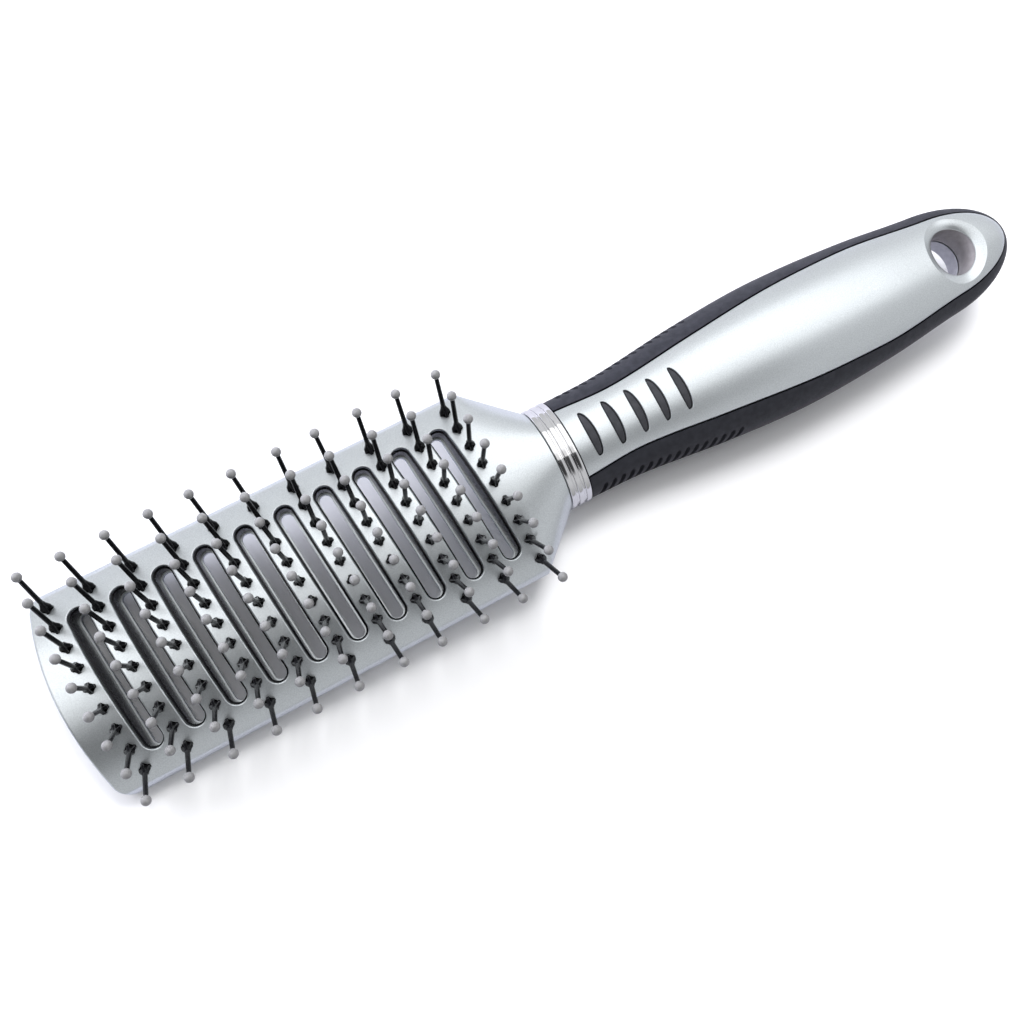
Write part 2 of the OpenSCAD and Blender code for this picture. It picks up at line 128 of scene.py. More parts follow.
def cap_strips(n, folded=0):
    """Strips that close a ring of n points, from its first point to the one across."""
    strips = []
    for k in range(n // 2 - folded):
        p, q = (n - folded - k) % n, n - folded - k - 1
        strips.append((k, k + 1, *([q] if q != k + 1 else []), *([p] if p != k else [])))
    return strips


def loft(name, rings, place, folded=0):
    """Closed solid through rings of equal length, with end caps made of strips."""
    n, m = len(rings[0]), len(rings)
    faces = [(i * n + j, (i + 1) * n + j, (i + 1) * n + (j + 1) % n, i * n + (j + 1) % n)
             for i in range(m - 1) for j in range(n)]
    strips = cap_strips(n, folded)
    faces += strips + [tuple((m - 1) * n + v for v in reversed(strip)) for strip in strips]
    piece = make_mesh(name, place(np.concatenate([np.asarray(r, float) for r in rings])), faces)
    work = bmesh.new()
    work.from_mesh(piece.data)
    bmesh.ops.recalc_face_normals(work, faces=work.faces)
    work.to_mesh(piece.data)
    work.free()
    return piece


def carve(piece, cutters, keep="DIFFERENCE"):
    """Cuts pieces away from a piece, or keeps only what they share, and drops the cutters."""
    for cutter in cutters:
        step = piece.modifiers.new("carve", "BOOLEAN")
        step.operation = keep
        step.solver = "MANIFOLD"
        step.object = cutter
    settle(piece)
    for cutter in cutters:
        bpy.data.objects.remove(cutter, do_unlink=True)


def settle(piece):
    """Turns a piece with modifiers into a plain mesh."""
    seen = bpy.context.evaluated_depsgraph_get()
    fixed = bpy.data.meshes.new_from_object(piece.evaluated_get(seen))
    piece.modifiers.clear()
    piece.data = fixed
    return piece


def box(name, low, high, place):
    x0, y0, z0 = low
    x1, y1, z1 = high
    return loft(name, [[(x, y0, z0), (x, y1, z0), (x, y1, z1), (x, y0, z1)] for x in (x0, x1)], place, 1)


print("helpers ready")

# %% [markdown]
# ## Smooth light on moulded skins
#
# Cutting holes leaves long thin faces, and plain smooth shading would streak the silver paint.
# The skin's true direction is known from its formula, so it is written into the mesh wherever a
# face lies on the skin, and every other edge is sharp only where it turns by a real corner.

# %% Shading helper
# How near a point of the skin must be, and how far its face must look the skin's way
SKIN_NEAR = 0.02
SKIN_FACING = 0.93


def smooth_skin(piece, lies_on=None, direction=None, corner=38.0):
    """Shades a piece smooth, and uses the skin's own direction where faces lie on it."""
    mesh = piece.data
    mesh.shade_smooth()
    mesh.set_sharp_from_angle(angle=math.radians(corner))
    if lies_on is None:
        return piece
    points = np.array([v.co for v in mesh.vertices]) / MM
    on_skin = np.abs(lies_on(points)) < SKIN_NEAR
    true = direction(points)
    true /= np.linalg.norm(true, axis=1)[:, None]
    normals = np.array([c.vector for c in mesh.corner_normals])
    for face in mesh.polygons:
        corners = list(face.vertices)
        if all(on_skin[v] for v in corners) and min(true[corners] @ np.array(face.normal)) > SKIN_FACING:
            for loop, v in zip(face.loop_indices, corners):
                normals[loop] = true[v]
    mesh.normals_split_custom_set([tuple(n) for n in normals])
    return piece


print("shading ready")

# %% [markdown]
# ## The head's shells
#
# The head is a shallow curved box in two halves. Its crown is an arc across the brush, its back
# is flat, and its far end is a very shallow arc in plan. Both halves are cut from the same solid:
# a loft whose rings shrink a little at the far end, which rounds that rim as on the real moulding.

# %% Section of the head
def crown_section(angles, inset):
    y = (HEAD_HALF - inset) * np.cos(angles)
    d = np.abs(y)
    r = EDGE_R - inset / 2
    dome = CROWN_R - inset
    edge_y = HEAD_HALF - inset - r
    edge_z = CROWN_MID + math.sqrt((dome - r) ** 2 - edge_y ** 2)
    over = np.where(d < edge_y * dome / (dome - r), CROWN_MID + np.sqrt(dome ** 2 - d ** 2),
                    edge_z + np.sqrt(np.maximum(r * r - (d - edge_y) ** 2, 0)))
    under = BACK_UP + inset + np.where(d < edge_y, 0, r - np.sqrt(np.maximum(r * r - (d - edge_y) ** 2, 0)))
    up = np.sin(angles)
    z = np.where(np.abs(up) < 1e-6, (over + under) / 2, np.where(up > 0, over, under))
    return y, z


def far_end(y, inset):
    d = np.minimum(np.abs(y), HEAD_HALF - inset)
    corner = HEAD_HALF - inset - CORNER_R
    r = FAR_R - inset
    arc = r - np.sqrt(r * r - np.minimum(d, corner) ** 2)
    turn = CORNER_R - np.sqrt(np.maximum(CORNER_R ** 2 - np.maximum(d - corner, 0) ** 2, 0))
    return -HEAD_LONG + inset + arc + turn


AROUND = -2 * np.pi * np.arange(180) / 180


def head_loft(name, inset, ends_at, rim):
    rings = []
    for t in np.linspace(0, math.pi / 2, 5):
        shrink = rim * (1 - math.sin(t))
        y, z = crown_section(AROUND, inset + shrink)
        rings.append(np.stack([far_end(y, inset + shrink) - shrink + rim * (1 - math.cos(t)), y, z], 1))
    y, z = crown_section(AROUND, inset)
    body = np.stack([np.full_like(y, ends_at), y, z], 1)
    rings.append(body)
    if ends_at <= SHOULDER_X:
        neck = np.stack([np.full_like(y, -RING_LONG), NECK_HALF * np.cos(AROUND), NECK_UP * np.sin(AROUND)], 1)
        rings += [body + (neck - body) * u for u in np.linspace(0, 1, 9)[1:]]
    return loft(name, rings, from_head)


print("a ring of the head has", len(AROUND), "points; the crown is", HEAD_LONG, "mm long")

# %% [markdown]
# ## Vents and pin holes
#
# A vent is a slot with round ends that runs across the crown on a slight slant. The moulding has a
# soft lip round each one, which catches the light. The cutter is therefore a loft whose last rings
# flare out along the crown, so the lip comes with the cut and follows the curve exactly.

# %% Cutters for the vents
ROW_GAP = 9.0
MID_ROW = -64.4
SLANT = math.radians(5.1)
VENT_RUN = 28.2
VENT_HALF = 2.15
LIP = 0.42
BACK_LIP = 0.35
LIP_TURN = 76


def row_x(i):
    return MID_ROW + (i - 5) * ROW_GAP


def slot_outline(half, run, count=20):
    """Points round a slot with round ends, long way along Y before the slant."""
    top, low = ([(half * math.cos(a), end + half * math.sin(a)) for a in np.linspace(b, b + math.pi, count)]
                for end, b in ((run / 2, 0.0), (-run / 2, math.pi)))
    mid = [(half, y) for y in np.linspace(-run / 2, run / 2, 15)[1:-1]]
    back = [(-half, -y) for _, y in mid]
    return np.array(mid + top + back + low)


def vent_cutter(name, x, half, levels):
    """Levels are pairs of how far the outline grows and the height there."""
    rings = []
    for grow, height in levels:
        outline = slot_outline(half + grow, VENT_RUN)
        c, s = math.cos(SLANT), math.sin(SLANT)
        px = x + outline[:, 0] * c - outline[:, 1] * s
        py = outline[:, 0] * s + outline[:, 1] * c
        rings.append(np.stack([px, py, height(py)], 1))
    return loft(name, rings, from_head, 1)


def crown_at(y, radius=CROWN_R):
    return CROWN_MID + np.sqrt(radius ** 2 - y ** 2)


def lip_levels(surface, lip, out, past):
    """Levels of a fillet from an upright wall to just short of the skin's slope, then past it."""
    turns = np.linspace(0, math.radians(LIP_TURN), 5)
    levels = [(lip * (1 - math.cos(t)), -lip * (1 - math.sin(t))) for t in turns]
    levels += [(lip * 1.9, lip * 0.3), (lip * 1.9, past)]
    start = [(0, lambda y: y * 0 - 6 * out)]
    return start + [(grow, lambda y, rise=out * rise: surface(y) + rise) for grow, rise in levels]


print("vents between rows:", [round(row_x(i) + ROW_GAP / 2, 1) for i in range(10)])

# %% Cutters for the pin holes
PIN_GAP = 4.65
PIN_FAN = math.radians(7)
HOLE_R = 0.92
SLOT_R = 1.22
ROW_LEAN = [1.5, 0, 0, 0, -2, -2, 1.5, -1, 1, 0, 1]


def pin_places():
    """Foot, direction and turn of each pin, in the level head."""
    places = []
    for i in range(11):
        for j in range(9):
            y = (j - 4) * PIN_GAP
            fan, lean = (j - 4) * PIN_FAN, math.radians(ROW_LEAN[i])
            foot = np.array([row_x(i) - math.tan(SLANT) * y, y, crown_at(y)])
            along = np.array([math.sin(lean), math.sin(fan) * math.cos(lean), math.cos(fan) * math.cos(lean)])
            side = np.array([math.cos(lean), -math.sin(fan) * math.sin(lean), -math.cos(fan) * math.sin(lean)])
            places.append((foot, along, side))
    return places


PINS = pin_places()


def star_hole(profile, foot, along, side, count=48):
    """Rings of one pin's hole: round, with a slot for each of its four fins."""
    across = np.cross(along, side)
    ring = 2 * np.pi * np.arange(count) / count
    off_fin = np.abs((ring + math.pi / 4) % (math.pi / 2) - math.pi / 4)
    rim = np.where(off_fin < 0.36, SLOT_R, np.where(off_fin < 0.5, 1.05, HOLE_R))
    return [foot + along * h + (np.outer(np.cos(ring) * (rim + grow), side)
                                + np.outer(np.sin(ring) * (rim + grow), across)) for grow, h in profile]


def hole_cutters():
    points, faces = [], []
    lip = 0.08
    profile = [(0, -4.0)] + [(lip * (1 - math.cos(t)), -lip * (1 - math.sin(t)))
                             for t in np.linspace(0, math.radians(74), 4)] + [(0.25, 0.1), (0.25, 3.0)]
    for foot, along, side in PINS:
        rings = star_hole(profile, foot, along, side)
        n, base = len(rings[0]), len(points)
        points += [p for r in rings for p in r]
        faces += ring_faces(base, n, len(rings))
        last = base + (len(rings) - 1) * n
        faces += [tuple(reversed(range(base, base + n))), tuple(range(last, last + n))]
    return make_mesh("pin_holes", from_head(points), faces)


print("pins:", len(PINS))

# %% Front shell of the head
FAR = 300.0
SEAM = 0.1


def half_shell(name, low, high):
    """One half of the hollow head, between two heights, open towards the neck."""
    shell = head_loft(name, 0, SHOULDER_X, 0.5)
    room = head_loft("room", WALL, SHOULDER_X + 0.95, 0.3)
    carve(shell, [box("half", (-FAR, -60, low), (FAR, 60, high), from_head)], "INTERSECT")
    carve(shell, [room, box("neck_end", (-RING_LONG - 0.02, -30, -30), (5, 30, 30), from_head)])
    return shell


front_shell = half_shell("front_shell", JOINT_UP, 40)
for i in range(10):
    lips = lip_levels(crown_at, LIP, 1, 6)
    carve(front_shell, [vent_cutter("vent", row_x(i) + ROW_GAP / 2, VENT_HALF, lips)])
carve(front_shell, [hole_cutters()])
print("front shell:", len(front_shell.data.polygons), "faces")


def off_crown(points):
    """How far points in the brush's frame are from the crown."""
    p = into_head(points)
    return np.hypot(p[:, 1], p[:, 2] - CROWN_MID) - CROWN_R


def crown_direction(points):
    p = into_head(points)
    c, s = math.cos(PITCH), math.sin(PITCH)
    y, z = p[:, 1], p[:, 2] - CROWN_MID
    return np.stack([-z * s, y, z * c], 1)


smooth_skin(front_shell, off_crown, crown_direction, corner=50)
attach(front_shell, "root")
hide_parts("head_front")

# %% [markdown]
# ## Back shell
#
# The back shell is a tray that closes the head from below. Each of its vents is narrower than the
# front one, so from above it shows as a pale ledge inside the slot.

# %% Back shell of the head
CLEAR_HALF = 1.4
back_shell = half_shell("back_shell", -40, JOINT_UP - SEAM)


def back_at(y):
    return y * 0 + BACK_UP


for i in range(10):
    lips = lip_levels(back_at, BACK_LIP, -1, 5)
    carve(back_shell, [vent_cutter("vent", row_x(i) + ROW_GAP / 2, CLEAR_HALF, lips)])
smooth_skin(back_shell, corner=60)
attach(back_shell, "root")
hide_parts("head_back")
print("back shell:", len(back_shell.data.polygons), "faces")

# %% [markdown]
# ## Pins and ball tips
#
# Ninety-nine pins stand on the crown in eleven rows. Each one leans out a little more than its
# neighbour, and some rows lean along the brush, because the strips that carry them are flexible.
# One pin is built inside Geometry Nodes and then set on a point for each place, turned by an
# angle that the point carries. That keeps every pin alike and makes its sizes easy to change.

# %% A point for each pin, with the turn it needs
def turned_points(name, feet, turns):
    """Lone points, each of which carries the turn of the piece that will stand on it."""
    piece = make_mesh(name, feet, [])
    places = piece.data.attributes.new("turn", "FLOAT_VECTOR", "POINT").data
    for place, turn in zip(places, turns):
        place.vector = turn
    return piece


def pin_points(name):
    tilt = Matrix.Rotation(-PITCH, 3, "Y")
    axes = [Matrix([side, np.cross(along, side), along]).transposed() for _, along, side in PINS]
    return turned_points(name, from_head([foot for foot, _, _ in PINS]), [(tilt @ a).to_euler() for a in axes])


def node_tree(name, sizes):
    """A Geometry Nodes tree with a named input for each size, a material and its way in and out."""
    tree = bpy.data.node_groups.new(name, "GeometryNodeTree")
    tree.interface.new_socket("Geometry", in_out="INPUT", socket_type="NodeSocketGeometry")
    for label, kind, value in sizes:
        socket = tree.interface.new_socket(label, in_out="INPUT", socket_type=kind)
        if value is not None:
            socket.default_value = value
    tree.interface.new_socket("Geometry", in_out="OUTPUT", socket_type="NodeSocketGeometry")
    way_in = tree.nodes.new("NodeGroupInput")
    way_out = tree.nodes.new("NodeGroupOutput")
    return tree, way_in, way_out


def give(piece, tree, values):
    """Adds the tree to a piece and sets its inputs by their identifiers."""
    step = piece.modifiers.new(tree.name, "NODES")
    step.node_group = tree
    for item in tree.interface.items_tree:
        if item.in_out == "INPUT" and item.name in values:
            step[item.identifier] = values[item.name]
    return settle(piece)


def worked_out(tree, operation, first, second):
    """A sum in a tree, where either part is a number or another node's socket."""
    step = tree.nodes.new("ShaderNodeMath")
    step.operation = operation
    for socket, value in zip(step.inputs, (first, second)):
        if isinstance(value, float):
            socket.default_value = value
        else:
            tree.links.new(value, socket)
    return step.outputs[0]


def raised(tree, shape, height):
    """Lifts a shape along its own upright line."""
    up = tree.nodes.new("ShaderNodeCombineXYZ")
    tree.links.new(height, up.inputs["Z"])
    lift = tree.nodes.new("GeometryNodeTransform")
    tree.links.new(shape, lift.inputs["Geometry"])
    tree.links.new(up.outputs[0], lift.inputs["Translation"])
    return lift.outputs[0]


def stand_on_points(tree, way_in, way_out, shape, size=None):
    """Sets a shape on each point, turned as the point says, and gives them their finish."""
    add, link = tree.nodes.new, tree.links.new
    turn = add("GeometryNodeInputNamedAttribute")
    turn.data_type = "FLOAT_VECTOR"
    turn.inputs["Name"].default_value = "turn"
    stand = add("GeometryNodeInstanceOnPoints")
    link(way_in.outputs["Geometry"], stand.inputs["Points"])
    link(shape, stand.inputs["Instance"])
    link(turn.outputs[0], stand.inputs["Rotation"])
    if size is not None:
        link(size, stand.inputs["Scale"])
    real = add("GeometryNodeRealizeInstances")
    link(stand.outputs[0], real.inputs[0])
    finish = add("GeometryNodeSetMaterial")
    link(real.outputs[0], finish.inputs["Geometry"])
    link(way_in.outputs["Finish"], finish.inputs["Material"])
    link(finish.outputs[0], way_out.inputs[0])


print("points carry a turn for each of", len(PINS), "pins")

# %% The gusset fins at a pin's root
def gusset():
    """Two crossed fins with rounded shoulders, which stiffen the root of a pin."""
    points, faces = [], []
    half_t, reach = 0.3, 1.17
    shoulder = [(reach, 0.62), (reach * 0.97, 0.95), (reach * 0.84, 1.25), (0.68, 1.9), (0.56, 2.5), (0.4, 2.9)]
    side = [(-reach, -2.2), (reach, -2.2)] + shoulder + [(-r, z) for r, z in reversed(shoulder)]
    for turn in (0, math.pi / 2):
        c, s = math.cos(turn), math.sin(turn)
        base, n = len(points), len(side)
        for t in (-half_t, half_t):
            for r, z in side:
                points.append((r * c - t * s, r * s + t * c, z))
        faces += [tuple(range(base, base + n)), tuple(reversed(range(base + n, base + 2 * n)))]
        faces += [(base + j, base + n + j, base + n + (j + 1) % n, base + (j + 1) % n) for j in range(n)]
    piece = make_mesh("gusset", points, faces)
    edge = piece.modifiers.new("edge", "BEVEL")
    edge.width = 0.07 * MM
    edge.segments = 2
    edge.limit_method = "ANGLE"
    return settle(piece)


fin_piece = gusset()
print("gusset:", len(fin_piece.data.polygons), "faces")

# %% The tree that makes and places the pins
def pin_tree():
    tree, way_in, way_out = node_tree("pins_on_points", [
        ("Root diameter", "NodeSocketFloat", 1.08 * MM),
        ("Tip diameter", "NodeSocketFloat", 0.94 * MM),
        ("Length", "NodeSocketFloat", 15.2 * MM),
        ("Sunk below skin", "NodeSocketFloat", 2.3 * MM),
        ("Gusset", "NodeSocketObject", None),
        ("Finish", "NodeSocketMaterial", None),
    ])
    add, link = tree.nodes.new, tree.links.new
    rod = add("GeometryNodeMeshCone")
    rod.inputs["Vertices"].default_value = 24
    rod.inputs["Side Segments"].default_value = 3
    link(worked_out(tree, "MULTIPLY", way_in.outputs["Root diameter"], 0.5), rod.inputs["Radius Bottom"])
    link(worked_out(tree, "MULTIPLY", way_in.outputs["Tip diameter"], 0.5), rod.inputs["Radius Top"])
    link(way_in.outputs["Length"], rod.inputs["Depth"])
    sink = worked_out(tree, "MULTIPLY", way_in.outputs["Sunk below skin"], -1.0)
    fins = add("GeometryNodeObjectInfo")
    link(way_in.outputs["Gusset"], fins.inputs["Object"])
    join = add("GeometryNodeJoinGeometry")
    link(raised(tree, rod.outputs["Mesh"], sink), join.inputs[0])
    link(fins.outputs["Geometry"], join.inputs[0])
    stand_on_points(tree, way_in, way_out, join.outputs[0])
    return tree


def tip_tree():
    tree, way_in, way_out = node_tree("tips_on_points", [
        ("Ball diameter", "NodeSocketFloat", 2.05 * MM),
        ("Height", "NodeSocketFloat", 12.5 * MM),
        ("Finish", "NodeSocketMaterial", None),
    ])
    ball = tree.nodes.new("GeometryNodeMeshUVSphere")
    ball.inputs["Segments"].default_value = 28
    ball.inputs["Rings"].default_value = 16
    radius = worked_out(tree, "MULTIPLY", way_in.outputs["Ball diameter"], 0.5)
    tree.links.new(radius, ball.inputs["Radius"])
    lifted = raised(tree, ball.outputs["Mesh"], way_in.outputs["Height"])
    stand_on_points(tree, way_in, way_out, lifted)
    return tree


print("trees:", pin_tree.__name__, tip_tree.__name__)

# %% [markdown]
# ## Finishes
#
# The brush shows satin silver paint, polished chrome, black pin plastic, milky grey tips, soft rubber
# in two greys, the matt black inside the vents, and painted shade on the walls of the bore's two halves.
# Each is a procedural material that reads object coordinates, so that its grain keeps a real size
# and never slides when the view moves.

# %% Finish helpers
# Most of a noise lies between these two values
NOISE_LOW, NOISE_HIGH = 0.3, 0.7


def finish_of(name, colour, metallic=0.0, roughness=0.5, spec=0.5, coat=0.0, coat_rough=0.1):
    material = bpy.data.materials.new(name)
    material.use_nodes = True
    shader = material.node_tree.nodes["Principled BSDF"]
    shader.inputs["Base Color"].default_value = (*colour, 1)
    shader.inputs["Metallic"].default_value = metallic
    shader.inputs["Roughness"].default_value = roughness
    shader.inputs["Specular IOR Level"].default_value = spec
    shader.inputs["Coat Weight"].default_value = coat
    shader.inputs["Coat Roughness"].default_value = coat_rough
    return material, material.node_tree, shader


def grain(tree, size_mm, detail=3.0):
    """Noise of a real size, from object coordinates."""
    where = tree.nodes.new("ShaderNodeTexCoord")
    scale = tree.nodes.new("ShaderNodeMapping")
    scale.inputs["Scale"].default_value = [1 / (size_mm * MM)] * 3
    noise = tree.nodes.new("ShaderNodeTexNoise")
    noise.inputs["Scale"].default_value = 1.0
    noise.inputs["Detail"].default_value = detail
    tree.links.new(where.outputs["Object"], scale.inputs["Vector"])
    tree.links.new(scale.outputs["Vector"], noise.inputs["Vector"])
    return noise.outputs["Fac"]


def ranged(tree, value, start, end, low, high, kind="LINEAR"):
    """Maps a value from one range to another."""
    step = tree.nodes.new("ShaderNodeMapRange")
    step.interpolation_type = kind
    for name, number in (("From Min", start), ("From Max", end), ("To Min", low), ("To Max", high)):
        step.inputs[name].default_value = number
    tree.links.new(value, step.inputs["Value"])
    return step.outputs["Result"]


def coloured(tree, value, colours):
    """Colours by a value, from pairs of the value and the colour there."""
    ramp = tree.nodes.new("ShaderNodeValToRGB")
    stops = ramp.color_ramp.elements
    while len(stops) < len(colours):
        stops.new(0.5)
    for stop, (place, colour) in zip(stops, colours):
        stop.position = place
        stop.color = (*colour, 1)
    tree.links.new(value, ramp.inputs["Fac"])
    return ramp.outputs["Color"]


def vary(tree, shader, colour, gloss):
    """Lets colour and roughness drift, each by a noise and the two ends of its range."""
    noise, dark, light = colour
    tree.links.new(coloured(tree, noise, [(NOISE_LOW, dark), (NOISE_HIGH, light)]), shader.inputs["Base Color"])
    noise, low, high = gloss
    tree.links.new(ranged(tree, noise, NOISE_LOW, NOISE_HIGH, low, high), shader.inputs["Roughness"])


def relief(tree, shader, fac, height_mm, strength):
    bump = tree.nodes.new("ShaderNodeBump")
    bump.inputs["Distance"].default_value = height_mm * MM
    bump.inputs["Strength"].default_value = strength
    tree.links.new(fac, bump.inputs["Height"])
    tree.links.new(bump.outputs["Normal"], shader.inputs["Normal"])


print("finish helpers ready")

# %% The finishes
def silver_paint():
    """Metal flake paint: a fine sparkle in colour and gloss over a very faint orange peel."""
    material, tree, shader = finish_of("satin_silver_paint", (0.70, 0.73, 0.75), 0.92, 0.38, 0.5, 0.2, 0.2)
    vary(tree, shader, (grain(tree, 0.2, 2.0), (0.60, 0.635, 0.655), (0.76, 0.80, 0.82)),
         (grain(tree, 0.25), 0.28, 0.37))
    relief(tree, shader, grain(tree, 1.1, 2.0), 0.006, 0.35)
    return material


def polished_chrome():
    material, tree, shader = finish_of("polished_chrome", (0.78, 0.78, 0.79), 1.0, 0.07)
    vary(tree, shader, (grain(tree, 3.0), (0.74, 0.74, 0.75), (0.82, 0.82, 0.83)),
         (grain(tree, 1.5, 4.0), 0.05, 0.13))
    return material


def black_plastic(name, spec, drift_mm, gloss_mm):
    """Hard plastic coloured right through, of the pins and of the liner inside the vents."""
    dark, light = (0.004, 0.004, 0.005), (0.009, 0.009, 0.011)
    material, tree, shader = finish_of(name, dark, 0.0, 0.24, spec)
    vary(tree, shader, (grain(tree, drift_mm), dark, light), (grain(tree, gloss_mm), 0.2, 0.3))
    return material


def tip_plastic():
    material, tree, shader = finish_of("milky_tip_plastic", (0.23, 0.23, 0.235), 0.0, 0.34)
    vary(tree, shader, (grain(tree, 0.7), (0.2, 0.2, 0.205), (0.265, 0.265, 0.27)),
         (grain(tree, 0.35), 0.28, 0.42))
    shader.inputs["Subsurface Weight"].default_value = 0.25
    shader.inputs["Subsurface Radius"].default_value = (0.8, 0.8, 0.8)
    shader.inputs["Subsurface Scale"].default_value = 0.0006
    return material


def soft_rubber(name, dark, light):
    material, tree, shader = finish_of(name, dark, 0.0, 0.55, 0.3)
    vary(tree, shader, (grain(tree, 1.6, 4.0), dark, light), (grain(tree, 0.4), 0.48, 0.62))
    relief(tree, shader, grain(tree, 0.18, 2.0), 0.012, 0.5)
    return material


def painted_bore_shade(name, dark, light):
    """Painted shade on the wall of the bore: a duller grey that stands in for the shade inside the hole."""
    material, tree, shader = finish_of(name, dark, 0.3, 0.42)
    vary(tree, shader, (grain(tree, 1.2), dark, light), (grain(tree, 0.5), 0.36, 0.48))
    return material


SILVER = silver_paint()
# Painted shade on the bore's wall: a dark warm grey in the front half of the bore
FRONT_BORE_SHADE = painted_bore_shade("front_bore_painted_shade", (0.33, 0.31, 0.32), (0.41, 0.39, 0.40))
# and a lavender grey in the back half, a painted reflection of the floor in shade
BACK_BORE_SHADE = painted_bore_shade("back_bore_painted_shade", (0.55, 0.55, 0.61), (0.66, 0.66, 0.72))
CHROME = polished_chrome()
BLACK_PINS = black_plastic("black_pin_plastic", 0.14, 0.8, 0.3)
GREY_TIPS = tip_plastic()
RUBBER = soft_rubber("soft_black_rubber", (0.013, 0.014, 0.019), (0.026, 0.027, 0.035))
LENS_RUBBER = soft_rubber("grey_lens_rubber", (0.026, 0.027, 0.031), (0.042, 0.043, 0.049))
LINER = black_plastic("matt_black_liner", 0.2, 1.0, 0.5)
FINISHES = (SILVER, FRONT_BORE_SHADE, BACK_BORE_SHADE, CHROME, BLACK_PINS, GREY_TIPS, RUBBER, LENS_RUBBER, LINER)


def paint(piece, material):
    piece.data.materials.clear()
    piece.data.materials.append(material)


paint(front_shell, SILVER)
paint(back_shell, SILVER)
print("finishes:", [material.name for material in FINISHES])

# %% Pins, tips and strips in place
ROW_NAMES = [f"{i:02d}" for i in range(1, 12)]
STRIP_HALF = 1.5
STRIP_REACH = 19.45
STRIP_TOP_R, STRIP_LOW_R = 41.3, 39.9
STRIP_STEPS = 33


def strips():
    """The curved strips under the front shell that carry the rows."""
    points, faces = [], []
    corners = [(-STRIP_HALF, STRIP_TOP_R), (STRIP_HALF, STRIP_TOP_R),
               (STRIP_HALF, STRIP_LOW_R), (-STRIP_HALF, STRIP_LOW_R)]
    for i in range(11):
        base = len(points)
        for y in np.linspace(-STRIP_REACH, STRIP_REACH, STRIP_STEPS):
            points += [(row_x(i) - math.tan(SLANT) * y + dx, y, crown_at(y, r)) for dx, r in corners]
        for k in range(STRIP_STEPS - 1):
            a, b = base + 4 * k, base + 4 * k + 4
            faces += [(a + j, a + (j + 1) % 4, b + (j + 1) % 4, b + j) for j in range(4)]
        last = base + 4 * (STRIP_STEPS - 1)
        faces += [(base + 3, base + 2, base + 1, base), (last, last + 1, last + 2, last + 3)]
    return make_mesh("pin_strips", from_head(points), faces)


pins = give(pin_points("pins"), pin_tree(), {"Gusset": fin_piece, "Finish": BLACK_PINS})
bpy.data.objects.remove(fin_piece, do_unlink=True)
smooth_skin(pins, corner=40)
tips = give(pin_points("ball_tips"), tip_tree(), {"Finish": GREY_TIPS})
smooth_skin(tips, corner=60)
strip_piece = smooth_skin(strips())
paint(strip_piece, BLACK_PINS)
for piece, finish_slot in ((pins, "black_pins"), (strip_piece, "black_pins"), (tips, "grey_tips")):
    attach(piece, "root")
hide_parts(*[f"pin_row_{n}" for n in ROW_NAMES])
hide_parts(*[f"pin_tips_{n}" for n in ROW_NAMES])
paint(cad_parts["vent_liner"], LINER)
print("pins:", len(pins.data.polygons), "faces; tips:", len(tips.data.polygons), "faces")

# %% [markdown]
# ## The handle's shape
#
# The handle is an oval bar that swells to a belly and ends in a rounded tail. Its half width, half
# height and middle line are smooth curves through a few stations along its length, so the grip,
# the plates and the pads can all ask the same three functions where the skin is.

# %% Curves of the handle
TAIL_X = HANDLE_LONG - 21.2
PLATE_END = HANDLE_LONG - 3.25
AT = [part * TAIL_X for part in (0, 0.13, 0.34, 0.55, 0.79, 1)] + [HANDLE_LONG]
WIDE = [11.9, 12.32, 14.714, 16.1, 15.2, 13.1, 12.2]
TALL = [9.1, 9.376, 10.48, 11.4, 10.28, 8.6, 8.04]
RISE = [0, 0.504, 1.134, 1.764, 2.856, 3.696, 4.2]
PLATE_AT = AT[:4] + [0.72 * TAIL_X, AT[4] + 2, TAIL_X, HANDLE_LONG]
PLATE_WIDE = [8.0, 7.4, 9.59, 11.6, 12.05, 11.8, 9.75, 8.75]


def curve(at, value, x):
    """Smooth curve through stations, the same one that the CAD uses."""
    at, value, x = np.array(at), np.array(value), np.atleast_1d(np.asarray(x, float))
    i = np.clip(np.searchsorted(at, x, side="right") - 1, 0, len(at) - 2)
    low, high = np.maximum(np.arange(len(at)) - 1, 0), np.minimum(np.arange(len(at)) + 1, len(at) - 1)
    slope = (value[high] - value[low]) / (at[high] - at[low])
    h = at[i + 1] - at[i]
    u = (x - at[i]) / h
    return (value[i] * (1 + 2 * u) * (1 - u) ** 2 + value[i + 1] * u * u * (3 - 2 * u)
            + slope[i] * h * u * (1 - u) ** 2 + slope[i + 1] * h * u * u * (u - 1))


def rounded(x, end, power):
    t = np.clip((np.asarray(x, float) - TAIL_X) / (end - TAIL_X), 0, 1)
    return np.sqrt(np.maximum(1 - t ** power, 1e-6))


def one(way, x):
    """A curve's value at one place."""
    return float(way(x)[0])


def half_wide(x):
    return curve(AT, WIDE, x) * rounded(x, HANDLE_LONG, 2)


def half_tall(x):
    return curve(AT, TALL, x) * rounded(x, HANDLE_LONG, 3)


def middle_up(x):
    return curve(AT, RISE, x)


def plate_half(x):
    return curve(PLATE_AT, PLATE_WIDE, x) * rounded(x, PLATE_END, 2)


def lean(x):
    """The first sections lean back to meet the pitched head square."""
    return -math.tan(PITCH) * np.maximum(0, 1 - np.asarray(x, float) / AT[1])


def skin_point(x, y, side, sunk=0.0):
    """A point of the handle's skin, at a distance y from the middle, on the front or the back."""
    a, b = half_wide(x) - sunk, half_tall(x) - sunk
    z = side * b * np.sqrt(np.maximum(1 - (y / a) ** 2, 0))
    up = middle_up(x) + z
    return np.stack(np.broadcast_arrays(x + lean(x) * up, y, up), -1)


